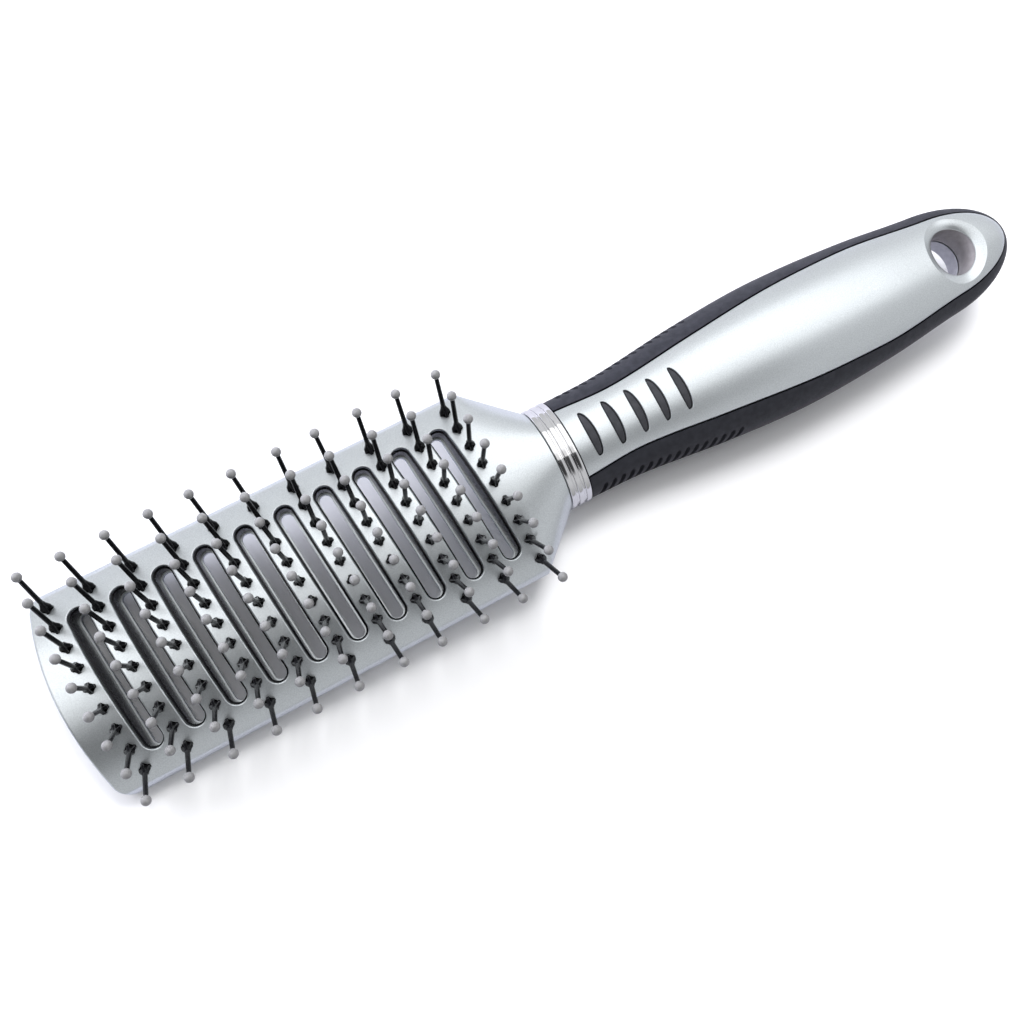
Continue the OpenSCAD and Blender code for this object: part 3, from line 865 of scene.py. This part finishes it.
def off_skin(points):
    """How far points in the brush's frame are from the handle's skin."""
    p = np.asarray(points) - np.array([NECK_X, 0, NECK_Z])
    x = np.clip(p[:, 0] - lean(p[:, 0]) * p[:, 2], 0, HANDLE_LONG - 0.1)
    b = half_tall(x)
    reach = np.sqrt((p[:, 1] / half_wide(x)) ** 2 + ((p[:, 2] - middle_up(x)) / b) ** 2)
    return (reach - 1) * b


def skin_direction(points):
    steps = np.eye(3) * 0.02
    return np.stack([off_skin(points + step) - off_skin(points - step) for step in steps], 1)


def along_handle(end, body=60, tail=26):
    x = np.concatenate([np.linspace(0.0, TAIL_X, body, endpoint=False),
                        TAIL_X + (end - TAIL_X) * np.sin(np.linspace(0, math.pi / 2, tail))])
    return np.minimum(x, end - END_LEFT)


print("belly:", round(2 * one(half_wide, AT[3]), 1), "wide,", round(2 * one(half_tall, AT[3]), 1), "tall")

# %% [markdown]
# ## Plates
#
# Two hard silver plates are let into the soft grip, one on the front and one on the back. A plate is
# a band of the handle's skin with rounded edges. Its section is drawn as one closed line, outer skin
# first and then back along the underside, and lofted along the handle.

# %% Plates of the handle
PLATE_T = 1.6
HOLE_X = HANDLE_LONG - 19.6
BORE_R = 5.9
TUBE_R = 7.15
TUBE_GAP = 0.42
# Depth and width of the dish round the hole, on the front and on the back
FRONT_DISH = (1.5, 2.35)
BACK_DISH = (3.2, 2.7)


def plate_band(name, side, edge=0.22):
    rings = []
    for x in along_handle(PLATE_END):
        wide = one(plate_half, x)
        soft = min(edge, wide * 0.45)
        turn = np.linspace(0, math.pi / 2, 5)
        flat = np.linspace(-wide + soft, wide - soft, 41)[1:-1]
        ys = np.concatenate([-wide + soft * (1 - np.cos(turn)), flat, wide - soft * (1 - np.cos(turn[::-1]))])
        sunk = np.concatenate([soft * (1 - np.sin(turn)), np.zeros(39), soft * (1 - np.sin(turn[::-1]))])
        outer = np.array([skin_point(x, y, side, s) for y, s in zip(ys, sunk)]).reshape(-1, 3)
        inner = np.array([skin_point(x, y, side, PLATE_T) for y in ys[::-1]]).reshape(-1, 3)
        rings.append(np.concatenate([outer, inner]))
    return loft(name, rings, from_handle, 1)


LENS_HALF = 5.2
LENS_WIDE = 2.1


def lens_outline(grow, count=28):
    """Outline of a lens pad, straighter on the side towards the neck."""
    t = np.linspace(0, math.pi, count)
    bulge = np.sin(t) ** np.where(t < math.pi / 2, 0.95, 0.62)
    bulge[[0, -1]] = 0
    along = (LENS_HALF + grow) * np.cos(t)
    soft = np.sqrt(np.maximum(np.sin(t), 0))
    far_side = np.stack([LENS_WIDE * 0.76 * bulge + grow * soft, along], 1)
    near_side = np.stack([-LENS_WIDE * 0.26 * bulge - grow * soft, along], 1)[1:-1][::-1]
    return np.concatenate([far_side, near_side])


def lens_rings(x, levels):
    """Rings of a lens from pairs of how far its outline grows and how deep it lies."""
    return [np.array([skin_point(x + dx, dy, 1, sunk)[0] for dx, dy in lens_outline(grow)]).reshape(-1, 3)
            for grow, sunk in levels]


LENS_X = [3.9 + 5.6 * k for k in range(5)]
HOLE_RING = 2 * np.pi * np.arange(96) / 96
hole_mid = one(middle_up, HOLE_X)
hole_mouth = one(half_tall, HOLE_X)


def hole_rod(name, start, end, radius):
    """Upright cylinder on the line of the hanging hole."""
    x, y = HOLE_X + radius * np.cos(HOLE_RING), radius * np.sin(HOLE_RING)
    return loft(name, [np.stack([x, y, np.full_like(x, up)], 1) for up in (start, end)], from_handle)


def hole_cutter(side):
    """Bore and the shallow dished lip round one mouth of the hanging hole, which follows the skin."""
    deep, wide = FRONT_DISH if side > 0 else BACK_DISH
    levels = [(0, math.inf), (0, deep + 0.12), (0.05, deep), (0.2, deep - 0.15)]
    levels += [(0.2 + (wide - 0.2) * u, (deep - 0.15) * (1 - u) ** 1.1 + 0.06 * u) for u in (0.35, 0.7, 1.0)]
    levels += [(wide + 0.12, -0.03), (wide + 0.12, -math.inf)]
    rings = []
    for grow, sunk in levels:
        x, y = HOLE_X + (BORE_R + grow) * np.cos(HOLE_RING), (BORE_R + grow) * np.sin(HOLE_RING)
        if math.isinf(sunk):
            up = np.full_like(x, hole_mid - math.copysign(40, sunk) * side)
        else:
            up = np.array([skin_point(a, b, side)[0][2] for a, b in zip(x, y)]) - side * sunk
        rings.append(np.stack([x, y, up], 1))
    return loft("hole", rings, from_handle)


def tube(side):
    """Short tube round the bore, from the plate to the middle of the handle."""
    start = hole_mid - (TUBE_GAP if side < 0 else 0)
    return hole_rod("hole_tube", start, hole_mid + side * (hole_mouth * 0.80), TUBE_R)


def plate(name, side):
    band = plate_band(name, side)
    carve(band, [tube(side)], "UNION")
    carve(band, [hole_cutter(side)])
    if side > 0:
        for x in LENS_X:
            window = lens_rings(x, [(0, 3.0), (0, 0.14), (0.04, 0.05), (0.12, -0.02), (0.12, -2)])
            carve(band, [loft("lens", window, from_handle)])
    smooth_skin(band, off_skin, skin_direction)
    paint(band, SILVER)
    # The faces of the bore's wall take the painted shade of that half of the bore
    band.data.materials.append(FRONT_BORE_SHADE if side > 0 else BACK_BORE_SHADE)
    middle = np.array([NECK_X + HOLE_X, 0.0])
    for face in band.data.polygons:
        reach = [math.hypot(*(np.array(band.data.vertices[v].co[:2]) / MM - middle)) for v in face.vertices]
        if max(abs(r - BORE_R) for r in reach) < 0.04:
            face.material_index = 1
    return band


front_plate = plate("front_plate", 1)
back_plate = plate("back_plate", -1)
for piece, node in ((front_plate, "top_plate"), (back_plate, "back_plate")):
    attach(piece, "root")
    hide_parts(node)
print("plates:", len(front_plate.data.polygons), "and", len(back_plate.data.polygons), "faces")

# %% [markdown]
# ## Soft grip
#
# The grip wraps the handle between the plates. Its section steps down where a plate lies in it, and
# that step is drawn in the ring itself, with a soft edge, so the seam is a real groove all round.

# %% Grip
STEP = PLATE_T + 0.1


def grip_ring(x, extra=0.34, edge=0.16):
    """Section of the grip: side, step, front floor, step, side, step, back floor, step."""
    wide = one(plate_half, min(x, PLATE_END - 0.05)) + extra if x < PLATE_END + 0.02 else 0.0
    ring = []
    for side, away in ((1, 1), (-1, -1)):
        reach = one(half_wide, x)
        y1 = min(wide, reach * 0.97)
        sunk = min(STEP, y1 * 1.2) if wide > 0 else 0.0
        quarter = [t * math.pi / 2 for t in np.linspace(0, 1, 4)]
        lip = [(y1 + edge * (1 - math.sin(t)), edge * (1 - math.cos(t))) for t in quarter]
        angles = np.linspace(0, math.acos(min((y1 + edge) / reach, 1.0)), 18)[:-1]
        up_side = [skin_point(x, away * reach * math.cos(a), side)[0] for a in angles]
        up_side += [skin_point(x, away * min(y, reach), side, min(s, sunk))[0] for y, s in lip]
        floor = [skin_point(x, away * y1 * k, side, sunk)[0] for k in np.linspace(1, -1, 21)]
        down = [skin_point(x, -away * min(y, reach), side, min(s, sunk))[0] for y, s in lip[::-1]]
        down += [skin_point(x, -away * reach * math.cos(a), side)[0] for a in angles[::-1]]
        ring += up_side + floor + down[:-1]
    return np.array(ring).reshape(-1, 3)


grip = loft("soft_grip", [grip_ring(x) for x in along_handle(HANDLE_LONG)], from_handle)
carve(grip, [hole_rod("tube_room", -30, 40, TUBE_R + 0.1)])
print("grip:", len(grip.data.polygons), "faces")

# %% [markdown]
# ## Side notches
#
# Sixteen slanted notches run along each side of the grip from the ring, just above its widest
# line, for the thumb and finger. Geometry Nodes stand one rounded cutter on a point for each.

# %% Notches
NOTCHES = 16
NOTCH_START = 2.6
NOTCH_PITCH = 2.3
# Half a notch's width and depth, and the height of its round ends beyond the straight part
NOTCH_HALF = (0.6, 1.35, 1.0)
NOTCH_REACH = 1.7
NOTCH_LIFT = 1.8
NOTCH_SLANT = math.radians(15)
NOTCH_TILT = math.radians(13)


def notch_bar():
    """A slim capsule, upright, which cuts one notch."""
    work = bmesh.new()
    bmesh.ops.create_icosphere(work, subdivisions=3, radius=1.0)
    wide, deep, tall = NOTCH_HALF
    for v in work.verts:
        reach = NOTCH_REACH if v.co.z > 1e-6 else -NOTCH_REACH if v.co.z < -1e-6 else 0.0
        v.co = Vector((v.co.x * wide, v.co.y * deep, v.co.z * tall + reach)) * MM
    mesh = bpy.data.meshes.new("notch_bar")
    work.to_mesh(mesh)
    work.free()
    return add_object("notch_bar", mesh)


def notch_points():
    feet, turns = [], []
    for x in (NOTCH_START + NOTCH_PITCH * k for k in range(NOTCHES)):
        out = one(half_wide, x) * math.sqrt(1 - (NOTCH_LIFT / one(half_tall, x)) ** 2)
        feet += [(x, side * out, one(middle_up, x) + NOTCH_LIFT) for side in (-1, 1)]
        turns += [(side * NOTCH_TILT, NOTCH_SLANT, 0) for side in (-1, 1)]
    return turned_points("notch_points", from_handle(feet), turns)


def notch_tree():
    tree, way_in, way_out = node_tree("notches_on_points", [
        ("Cutter", "NodeSocketObject", None),
        ("Size", "NodeSocketFloat", 1.0),
        ("Finish", "NodeSocketMaterial", None),
    ])
    add, link = tree.nodes.new, tree.links.new
    cutter = add("GeometryNodeObjectInfo")
    link(way_in.outputs["Cutter"], cutter.inputs["Object"])
    size = add("ShaderNodeCombineXYZ")
    for axis in "XYZ":
        link(way_in.outputs["Size"], size.inputs[axis])
    stand_on_points(tree, way_in, way_out, cutter.outputs["Geometry"], size.outputs[0])
    return tree


bar = notch_bar()
notches = give(notch_points(), notch_tree(), {"Cutter": bar, "Finish": RUBBER})
bpy.data.objects.remove(bar, do_unlink=True)
carve(grip, [notches])
smooth_skin(grip, off_skin, skin_direction, corner=35)
paint(grip, RUBBER)
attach(grip, "root")
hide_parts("grip")
print("grip with notches:", len(grip.data.polygons), "faces")

# %% [markdown]
# ## Lens pads
#
# Five lens-shaped pads of the grip's rubber show through windows in the front plate. They lie just
# below the silver, with a fine gap round them that reads as a dark outline.

# %% Lens pads
def lens_pads():
    points, faces = [], []
    for x in LENS_X:
        base = len(points)
        rings = lens_rings(x, [(-0.2, 1.9), (-0.2, 0.42), (-0.25, 0.3), (-0.36, 0.24), (-0.65, 0.2)])
        n = len(rings[0])
        points += [p for r in rings for p in r]
        faces += ring_faces(base, n, len(rings))
        top = base + (len(rings) - 1) * n
        faces += [tuple(top + v for v in strip) for strip in cap_strips(n)]
    return make_mesh("lens_pads", from_handle(points), faces)


pads = smooth_skin(lens_pads())
paint(pads, LENS_RUBBER)
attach(pads, "root")
print("lens pads:", len(pads.data.polygons), "faces")

# %% [markdown]
# ## Neck ring
#
# The ring is a chromed collar with three flat bands and two grooves between them. Its profile is
# drawn once, with small rounded edges, and swept round the neck's oval.

# %% Neck ring
RING_REACH = 5.3
RING_ROOM = (8.65, 5.85)


def ring_profile():
    """Pairs of place along the ring and height of its skin over the neck's oval."""
    pairs = [(0.0, -0.35)]
    for k in range(3):
        a, b = RING_REACH * (0.03 + 0.345 * k), RING_REACH * (0.03 + 0.345 * k + 0.25)
        pairs += [(a, -0.1), (a + 0.02, 0.1), (a + 0.1, 0.25), (a + 0.26, 0.3), ((a + b) / 2, 0.3),
                  (b - 0.26, 0.3), (b - 0.1, 0.25), (b - 0.02, 0.1), (b, -0.1)]
        if k < 2:
            pairs += [(b + 0.12, -0.14), (b + 0.38, -0.14)]
    return pairs + [(RING_REACH, -0.35)]


def neck_ring():
    n = 160
    turn = -2 * np.pi * np.arange(n) / n
    wide, tall = RING_ROOM
    places = [(-RING_LONG, wide, tall)]
    places += [(x - RING_LONG, NECK_HALF + h, NECK_UP + h) for x, h in ring_profile()]
    places.append((RING_REACH - RING_LONG, wide, tall))
    rings = [np.stack([np.full(n, x), a * np.cos(turn), b * np.sin(turn)], 1) for x, a, b in places]
    m = len(rings)
    faces = [(i * n + j, ((i + 1) % m) * n + j, ((i + 1) % m) * n + (j + 1) % n, i * n + (j + 1) % n)
             for i in range(m) for j in range(n)]
    return make_mesh("chrome_ring", from_head(np.concatenate(rings)), faces)


ring = smooth_skin(neck_ring(), corner=50)
paint(ring, CHROME)
paint(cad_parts["handle_core"], RUBBER)
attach(ring, "root")
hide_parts("neck_ring")
print("ring:", len(ring.data.polygons), "faces")

# %% [markdown]
# ## Floor, light and camera
#
# The photograph is a product shot on white. Silver shows its surroundings, so these are given in
# full: a grey room by angle from the near side to the far side, a dark patch where the camera
# stood, and one large strip lamp for the white band along the crown and the handle. A key lamp
# draws the shadow and a side lamp lightens the floor under the head; neither shows in the silver.
# The camera alone sees a white background, and reflections see a floor that is a little darker.

# %% Floor
SEEN_FLOOR = (0.97, 0.97, 0.985)
# Colour of the floor in reflections only, where the real table was in shade
MIRRORED_FLOOR = (0.58, 0.58, 0.65)
FLOOR_HALF = 800


def studio_floor():
    corners = [(x * FLOOR_HALF, y * FLOOR_HALF, 0) for x, y in ((-1, -1), (1, -1), (1, 1), (-1, 1))]
    floor = make_mesh("floor", corners, [(0, 1, 2, 3)])
    material = bpy.data.materials.new("pale_floor")
    material.use_nodes = True
    tree = material.node_tree
    shader = tree.nodes["Principled BSDF"]
    shader.inputs["Roughness"].default_value = 0.6
    path = tree.nodes.new("ShaderNodeLightPath")
    shade = coloured(tree, path.outputs["Is Glossy Ray"], [(0, SEEN_FLOOR), (1, MIRRORED_FLOOR)])
    tree.links.new(shade, shader.inputs["Base Color"])
    paint(floor, material)
    return floor


floor = studio_floor()
print("floor:", floor.name)

# %% Lamps and world
STRIP_POWER = 3.1
KEY_POWER = 4.8
SIDE_POWER = 14.0
# Share of the surroundings that lights matt surfaces, which keeps the shadows deep
SHADE_LEVEL = 0.48
# Brightness of the surroundings by degrees from upright, from the near side to the far side
SURROUND = [(-90, 0.42), (-58, 0.66), (-20, 0.66), (12, 0.84), (34, 0.82), (60, 0.75), (90, 0.66)]
# The dark patch above the head, by degrees across the brush and between two along it
DARK_ACROSS = [(-90, 0), (-47, 0), (-36, 1), (-1, 1), (9, 0)]
DARK_ALONG = (13, 26)
DARK_SHARE = 0.92
ROOM_TINT = (0.97, 0.98, 1.0)


def soft_lamp(name, place, target, size, power):
    data = bpy.data.lights.new(name, "AREA")
    data.shape = "RECTANGLE"
    data.size, data.size_y = size
    data.energy = power
    lamp = add_object(name, data)
    lamp.location = place
    lamp.rotation_euler = (Vector(target) - Vector(place)).to_track_quat("-Z", "Y").to_euler()
    return lamp


soft_lamp("strip_lamp", (0.06, 0.295, 0.70), (0.06, 0.295, 0), (1.45, 0.81), STRIP_POWER)
key_lamp = soft_lamp("key_lamp", (0.2, 0.33, 0.75), (0.0, 0, 0), (0.30, 0.30), KEY_POWER)
key_lamp.visible_glossy = False
side_lamp = soft_lamp("side_lamp", (-0.42, 0.74, 0.24), (-0.08, 0, 0), (0.9, 0.25), SIDE_POWER)
side_lamp.visible_glossy = False
side_lamp.data.color = (0.90, 0.91, 1.0)


def studio_world():
    """Grey surroundings with a dark patch, and white behind the brush for the camera."""
    studio = bpy.data.worlds.new("studio")
    studio.use_nodes = True
    tree = studio.node_tree
    add, link = tree.nodes.new, tree.links.new

    def by_angle(levels, tinted):
        colours = [((degrees + 90) / 180, [level * t for t in tinted]) for degrees, level in levels]
        return coloured(tree, share, colours)

    where = add("ShaderNodeTexCoord")
    split = add("ShaderNodeSeparateXYZ")
    link(where.outputs["Generated"], split.inputs[0])
    x, y, z = split.outputs
    share = ranged(tree, worked_out(tree, "ARCTAN2", y, z), -math.pi / 2, math.pi / 2, 0.0, 1.0)
    start, end = (math.radians(degrees) for degrees in DARK_ALONG)
    along = ranged(tree, worked_out(tree, "ARCTAN2", x, z), start, end, DARK_SHARE, 0.0, "SMOOTHSTEP")
    dark = worked_out(tree, "MULTIPLY", by_angle(DARK_ACROSS, (1, 1, 1)), along)
    path = add("ShaderNodeLightPath")
    level = add("ShaderNodeMix")
    level.inputs["A"].default_value = SHADE_LEVEL
    link(worked_out(tree, "SUBTRACT", 1.0, dark), level.inputs["B"])
    link(path.outputs["Is Glossy Ray"], level.inputs["Factor"])
    grey = tree.nodes["Background"]
    link(by_angle(SURROUND, ROOM_TINT), grey.inputs["Color"])
    link(level.outputs["Result"], grey.inputs["Strength"])
    white = add("ShaderNodeBackground")
    white.inputs["Color"].default_value = (1, 1, 1, 1)
    mixed = add("ShaderNodeMixShader")
    link(path.outputs["Is Camera Ray"], mixed.inputs["Fac"])
    link(grey.outputs[0], mixed.inputs[1])
    link(white.outputs[0], mixed.inputs[2])
    link(mixed.outputs[0], tree.nodes["World Output"].inputs["Surface"])
    bpy.context.scene.world = studio
    return studio


studio_world()
print("lamps and world ready")

# %% Camera
# Its place, direction and lens were found by fitting the brush's outline to the photograph
def photo_camera():
    data = bpy.data.cameras.new("camera")
    data.lens = 35.848
    data.sensor_width = 36.0
    data.sensor_fit = "HORIZONTAL"
    camera = add_object("camera", data)
    right = Vector((0.86383, -0.47257, 0.17456))
    down = Vector((-0.44064, -0.87672, -0.19290))
    ahead = Vector((0.24420, 0.08971, -0.96557))
    place = Vector((-72.025 + NECK_X, -26.598, 214.823 + NECK_Z)) * MM
    axes = Matrix((right, -down, -ahead)).transposed().to_4x4()
    camera.matrix_world = Matrix.Translation(place) @ axes
    bpy.context.scene.camera = camera
    return camera


camera = photo_camera()
bpy.context.scene.view_settings.view_transform = "Standard"
print("camera at", [round(v / MM, 1) for v in camera.location])
